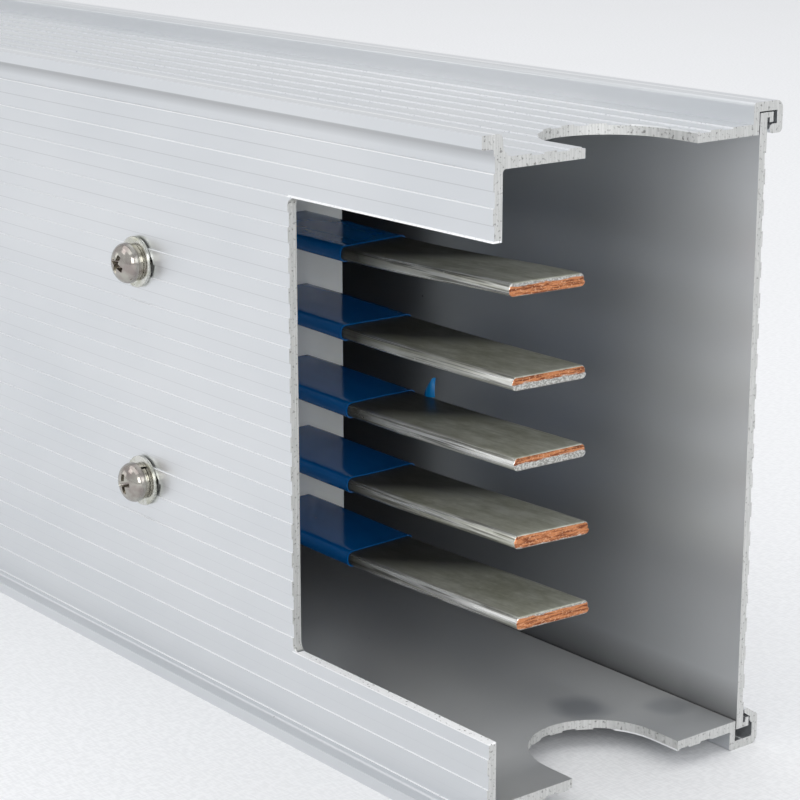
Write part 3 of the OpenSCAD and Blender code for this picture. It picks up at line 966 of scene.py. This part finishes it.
screw = {
    "headRadius": 4.75 * mm,
    "headHeight": 3.7 * mm,
    "rimHeight": 0.7 * mm,
    "domePower": 2.1,
    "domeSteps": 12,
    "footRound": ((0.25 * mm, 0), (0.06 * mm, 0.08 * mm), (0, 0.25 * mm)),
    "steps": 56,
    "recessWidth": 1.35 * mm,
    "recessSpan": 5.3 * mm,
    # share of the span, share of the width and level above the head's top, at the foot and the mouth
    "recessFoot": (0.42, 0.75, -2.4 * mm),
    "recessMouth": (1.35, 1.1, 1.6 * mm),
    "recessRound": 0.12 * mm,
    "shankLength": 10 * mm,
    "coreRadius": 2.08 * mm,
    "crestRadius": 2.48 * mm,
    "pitch": 0.8 * mm,
    "threadTop": 0.2 * mm,
    "threadSteps": 20,
    "turns": {"1_upper": 62, "1_lower": 8, "2_upper": 35, "2_lower": 71, "3_upper": 20, "3_lower": 50},
    "colour": (0.46, 0.445, 0.40),
    "tint": (0.34, 0.30, 0.28),
    "roughness": (0.10, 0.20),
}
springWasher = {
    "inner": 2.66 * mm,
    "outer": 4.4 * mm,
    "thick": 1.18 * mm,
    "soft": 0.16 * mm,
    "rise": 0.1 * mm,
    "gap": 9,
    "steps": 44,
}
flatWasher = {
    "inner": 2.7 * mm,
    "outer": 6 * mm,
    "thick": 1.0 * mm,
    "soft": 0.24 * mm,
    "burr": 0.2 * mm,
    "steps": 64,
    "colour": (0.66, 0.66, 0.62),
    "tint": (0.50, 0.50, 0.42),
    "roughness": (0.18, 0.3),
}


steel = {
    "haze": ((330, 330, 330), 2, 0.6),
    "swirl": ((1400, 1400, 1400), 1),
    "hazeDepth": 0.03 * mm,
    "swirlDepth": 0.003 * mm,
}


def outline(shape, corners, closed):
    verts = [shape.verts.new(Vector((radius, 0, height))) for radius, height in corners]
    pairs = list(zip(verts, verts[1:])) + ([(verts[-1], verts[0])] if closed else [])
    return verts + [shape.edges.new(pair) for pair in pairs]


def turned(corners, steps, closed=False):
    shape = bmesh.new()
    geometry = outline(shape, corners, closed)
    bmesh.ops.spin(shape, geom=geometry, cent=(0, 0, 0), axis=(0, 0, 1), angle=math.tau, steps=steps,
                   use_merge=True)
    bmesh.ops.remove_doubles(shape, verts=shape.verts, dist=0.001 * mm)
    bmesh.ops.recalc_face_normals(shape, faces=shape.faces)
    return shape


def headShape():
    radius, height, rim = screw["headRadius"], screw["headHeight"], screw["rimHeight"]
    power, steps = screw["domePower"], screw["domeSteps"]
    corners = [(0, 0)] + [(radius - inset, level) for inset, level in screw["footRound"]]
    for step in range(steps + 1):
        share = math.cos(math.radians(90 * step / steps))
        lifted = (1 - share ** power) ** (1 / power)
        corners.append((radius * share, rim + (height - rim) * lifted))
    return turned(corners, screw["steps"])


def recessWing(turn):
    wing = bmesh.new()
    bmesh.ops.create_cube(wing, size=1)
    for vert in wing.verts:
        spanShare, widthShare, level = screw["recessFoot" if vert.co.z < 0 else "recessMouth"]
        vert.co.x *= screw["recessSpan"] * spanShare
        vert.co.y *= screw["recessWidth"] * widthShare
        vert.co.z = screw["headHeight"] + level
    roundEdges(wing, wing.edges[:], screw["recessRound"], 2)
    turnAbout(wing, "Z", turn)
    return wing


def addThread(shape):
    thread = bmesh.new()
    pitch, top = screw["pitch"], screw["threadTop"]
    crest, core = screw["crestRadius"], screw["coreRadius"]
    geometry = outline(thread, [(core, top), (crest, top - 0.38 * pitch), (crest, top - 0.5 * pitch),
                                (core, top - 0.88 * pitch), (core, top - pitch)], False)
    rounds = int((screw["shankLength"] - pitch) / pitch)
    steps = screw["threadSteps"] * rounds
    bmesh.ops.spin(thread, geom=geometry, cent=(0, 0, 0), axis=(0, 0, 1), angle=math.tau * rounds,
                   steps=steps, dvec=(0, 0, -pitch / screw["threadSteps"]), use_merge=False)
    bmesh.ops.remove_doubles(thread, verts=thread.verts, dist=0.002 * mm)
    bmesh.ops.holes_fill(thread, edges=[edge for edge in thread.edges if edge.is_boundary], sides=0)
    bmesh.ops.recalc_face_normals(thread, faces=thread.faces)
    mesh = bpy.data.meshes.new("thread")
    thread.to_mesh(mesh)
    thread.free()
    shape.from_mesh(mesh)
    bpy.data.meshes.remove(mesh)


def springWasherShape():
    inner, outer, thick, soft = (springWasher[key] for key in ("inner", "outer", "thick", "soft"))
    shape = bmesh.new()
    geometry = outline(shape, [(inner + soft, 0), (outer - soft, 0), (outer, soft),
                               (outer, thick - soft), (outer - soft, thick), (inner + soft, thick),
                               (inner, thick - soft), (inner, soft)], True)
    steps = springWasher["steps"]
    bmesh.ops.spin(shape, geom=geometry, cent=(0, 0, 0), axis=(0, 0, 1),
                   angle=math.radians(360 - springWasher["gap"]), steps=steps,
                   dvec=(0, 0, springWasher["rise"] / steps), use_merge=False)
    bmesh.ops.holes_fill(shape, edges=[edge for edge in shape.edges if edge.is_boundary], sides=0)
    bmesh.ops.recalc_face_normals(shape, faces=shape.faces)
    return shape


def flatWasherShape():
    inner, outer, thick, soft = (flatWasher[key] for key in ("inner", "outer", "thick", "soft"))
    cut, burr = 0.3 * soft, flatWasher["burr"]
    return turned([(inner, 0), (outer - soft, 0), (outer - cut, cut), (outer, soft),
                   (outer, thick - soft), (outer - cut, thick - cut), (outer - soft, thick),
                   (inner + burr, thick), (inner, thick - burr)], flatWasher["steps"], True)


def steelMaterial(name, finish):
    material, tree, shader = newMaterial(name)
    haze = pattern(tree, *steel["haze"])
    swirl = pattern(tree, *steel["swirl"])
    tone = mixColour(tree, remap(tree, haze, 0.4, 0.65), finish["colour"], finish["tint"])
    tree.links.new(tone, shader.inputs["Base Color"])
    low, high = finish["roughness"]
    tree.links.new(remap(tree, swirl, 0.3, 0.7, low, high), shader.inputs["Roughness"])
    shader.inputs["Metallic"].default_value = 1.0
    addBump(tree, shader, [(haze, steel["hazeDepth"]), (swirl, steel["swirlDepth"])])
    return material


def fitOut(name, shape, axis, lowest, turn, material, replaced):
    spun = Matrix.Rotation(math.radians(turn), 4, "Z")
    outwards = Matrix.Rotation(math.radians(90), 4, "X")
    bmesh.ops.transform(shape, matrix=Matrix.Translation((axis.x, lowest, axis.z)) @ outwards @ spun,
                        verts=shape.verts)
    bmesh.ops.recalc_face_normals(shape, faces=shape.faces)
    finishPiece(name, shape, [material], [replaced], 32)


nickel = steelMaterial("brightNickel", screw)
washerSteel = steelMaterial("washerSteel", flatWasher)
for key, turn in screw["turns"].items():
    washerLow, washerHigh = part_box(f"flat_washer_{key}")
    axis = (washerLow + washerHigh) / 2
    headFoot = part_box(f"screw_{key}")[0].y + screw["headHeight"]
    screwShape = carve(headShape(), [("DIFFERENCE", recessWing(wingTurn)) for wingTurn in (0, 90)])
    addThread(screwShape)
    fitOut(f"crossScrew_{key}", screwShape, axis, headFoot, turn, nickel, f"screw_{key}")
    fitOut(f"splitWasher_{key}", springWasherShape(), axis, washerLow.y, turn * 3 + 40, nickel,
           f"spring_washer_{key}")
    fitOut(f"plainWasher_{key}", flatWasherShape(), axis, washerHigh.y, turn, washerSteel,
           f"flat_washer_{key}")
print("screws and washers done")


# Studio

studio = {
    "floorColour": (0.86, 0.865, 0.875),
    "floorWeave": (0.80, 0.805, 0.815),
    "floorDrift": (0.82, 0.825, 0.83),
    "floorHalf": 8,
    "floorRoughness": 0.85,
    "warp": ((1700, 420, 1), 0, 0.5, (0, 0, 0.5)),
    "weft": ((420, 1700, 1), 0, 0.5, (0, 0, 0.5)),
    "drift": ((9, 9, 9), 1),
    "weaveDepth": 0.06 * mm,
    "skyColour": (0.935, 0.945, 0.965),
    "skyStrength": 0.78,
    # place, target, size and power of each lamp
    "lamps": {
        "overheadLight": ((0.1, -0.1, 2.4), (0.1, 0.0, 0.0), (3.2, 3.2), 25),
        "keyLight": ((-0.3, -1.5, 1.5), (0.3, 0.0, 0.05), (0.9, 0.9), 3.4),
        "endLight": ((1.9, -0.7, 0.75), (0.36, 0.0, 0.06), (0.9, 0.9), 8.5),
        "sideLight": ((-1.3, -1.35, 0.4), (0.4, 0.0, 0.05), (0.9, 0.5), 1),
    },
}


def floorMaterial():
    material, tree, shader = newMaterial("paleCloth")
    drift = pattern(tree, *studio["drift"])
    weave = maths(tree, "ADD", pattern(tree, *studio["warp"]), pattern(tree, *studio["weft"]))
    colour = mixColour(tree, remap(tree, weave, 0.8, 1.2), studio["floorColour"], studio["floorWeave"])
    colour = mixColour(tree, remap(tree, drift, 0.35, 0.7, 0.0, 0.3), colour, studio["floorDrift"])
    tree.links.new(colour, shader.inputs["Base Color"])
    shader.inputs["Roughness"].default_value = studio["floorRoughness"]
    addBump(tree, shader, [(weave, studio["weaveDepth"])])
    return material


def makeFloor():
    mesh = bpy.data.meshes.new("floor")
    shape = bmesh.new()
    bmesh.ops.create_grid(shape, x_segments=1, y_segments=1, size=studio["floorHalf"])
    shape.to_mesh(mesh)
    shape.free()
    floor = bpy.data.objects.new("floor", mesh)
    scene.collection.objects.link(floor)
    mesh.materials.append(floorMaterial())


def makeWorld():
    world = bpy.data.worlds.new("studioSky")
    world.use_nodes = True
    background = world.node_tree.nodes["Background"]
    background.inputs["Color"].default_value = (*studio["skyColour"], 1)
    background.inputs["Strength"].default_value = studio["skyStrength"]
    scene.world = world


def areaLight(name, place, target, size, power):
    light = bpy.data.lights.new(name, "AREA")
    light.shape = "RECTANGLE"
    light.size, light.size_y = size
    light.energy = power
    lamp = bpy.data.objects.new(name, light)
    lamp.location = place
    lamp.rotation_euler = (Vector(target) - Vector(place)).to_track_quat("-Z", "Y").to_euler()
    scene.collection.objects.link(lamp)


# The camera looks down the section from beyond its right-hand end
view = {
    "place": (0.8266, -0.3214, 0.2077),
    "turn": 38.75,
    "dip": 14.93,
    "lens": 104.7,
    "sensor": 36,
    "nearest": 0.01,
}


def makeCamera():
    turn, dip = math.radians(view["turn"]), math.radians(view["dip"])
    ahead = Vector((-math.cos(turn) * math.cos(dip), math.sin(turn) * math.cos(dip), -math.sin(dip)))
    data = bpy.data.cameras.new("camera")
    data.lens = view["lens"]
    data.sensor_width = view["sensor"]
    data.clip_start = view["nearest"]
    camera = bpy.data.objects.new("camera", data)
    camera.location = view["place"]
    camera.rotation_euler = ahead.to_track_quat("-Z", "Y").to_euler()
    scene.collection.objects.link(camera)
    scene.camera = camera


makeFloor()
makeWorld()
for name, (place, target, size, power) in studio["lamps"].items():
    areaLight(name, place, target, size, power)
makeCamera()
scene.view_settings.view_transform = "Standard"
print("studio done")
